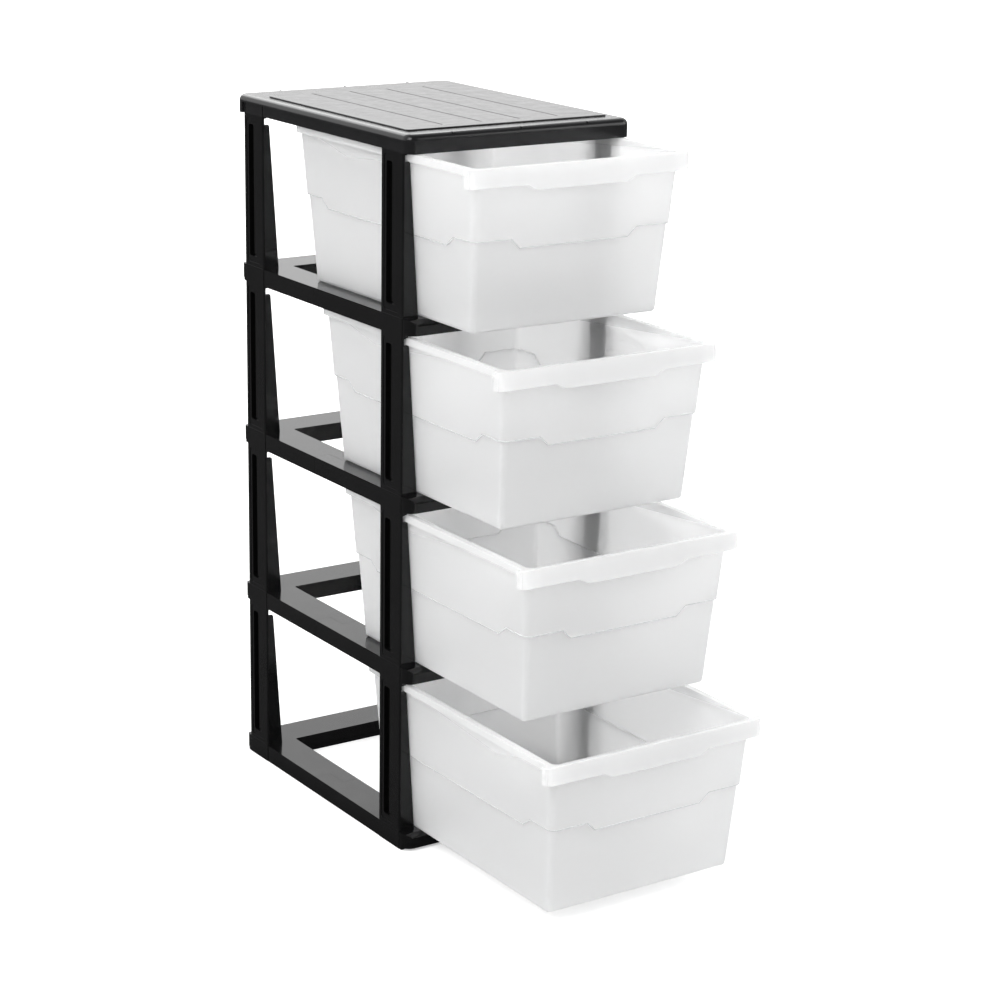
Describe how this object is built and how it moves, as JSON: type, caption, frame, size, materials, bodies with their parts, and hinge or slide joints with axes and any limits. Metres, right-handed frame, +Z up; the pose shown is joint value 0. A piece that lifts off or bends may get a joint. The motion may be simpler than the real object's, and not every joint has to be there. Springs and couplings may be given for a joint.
{
  "type": "storage tower with drawers",
  "caption": "Tall open-frame storage tower of moulded plastic rings and corner posts with deep see-through slide-in drawers and a flat top.",
  "frame": {"origin": "middle of the base on the floor", "axes": "+X to the tower's right seen from the front is +X, the drawers pull out towards -Y, +Z is up"},
  "size_m": [0.2924, 0.663, 0.8226],
  "materials": {
    "frame_plastic": "glossy black moulded plastic",
    "frame_panel": "satin black moulded plastic with a fine grain",
    "drawer_plastic": "natural see-through plastic with a soft frosting"
  },
  "bodies": {
    "frame": {"top_panel": "frame_panel", "ring_1_front": "frame_plastic", "ring_1_rear": "frame_plastic", "post_1_front_left": "frame_plastic", "post_1_front_right": "frame_plastic", "post_1_rear_left": "frame_plastic", "post_1_rear_right": "frame_plastic", "ring_2_front": "frame_plastic", "ring_2_rear": "frame_plastic", "post_2_front_left": "frame_plastic", "post_2_front_right": "frame_plastic", "post_2_rear_left": "frame_plastic", "post_2_rear_right": "frame_plastic", "ring_3_front": "frame_plastic", "ring_3_rear": "frame_plastic", "post_3_front_left": "frame_plastic", "post_3_front_right": "frame_plastic", "post_3_rear_left": "frame_plastic", "post_3_rear_right": "frame_plastic", "ring_4_front": "frame_plastic", "ring_4_rear": "frame_plastic", "post_4_front_left": "frame_plastic", "post_4_front_right": "frame_plastic", "post_4_rear_left": "frame_plastic", "post_4_rear_right": "frame_plastic"},
    "drawer_1": {"drawer_1": "drawer_plastic"},
    "drawer_2": {"drawer_2": "drawer_plastic"},
    "drawer_3": {"drawer_3": "drawer_plastic"},
    "drawer_4": {"drawer_4": "drawer_plastic"}
  },
  "joints": [
    {"name": "drawer_1_slide", "type": "slide", "parent": "frame", "child": "drawer_1", "axis": [0, -1, 0], "range_m": [-0.278, 0.022]},
    {"name": "drawer_2_slide", "type": "slide", "parent": "frame", "child": "drawer_2", "axis": [0, -1, 0], "range_m": [-0.2245, 0.0755]},
    {"name": "drawer_3_slide", "type": "slide", "parent": "frame", "child": "drawer_3", "axis": [0, -1, 0], "range_m": [-0.1745, 0.1255]},
    {"name": "drawer_4_slide", "type": "slide", "parent": "frame", "child": "drawer_4", "axis": [0, -1, 0], "range_m": [-0.114, 0.186]}
  ]
}
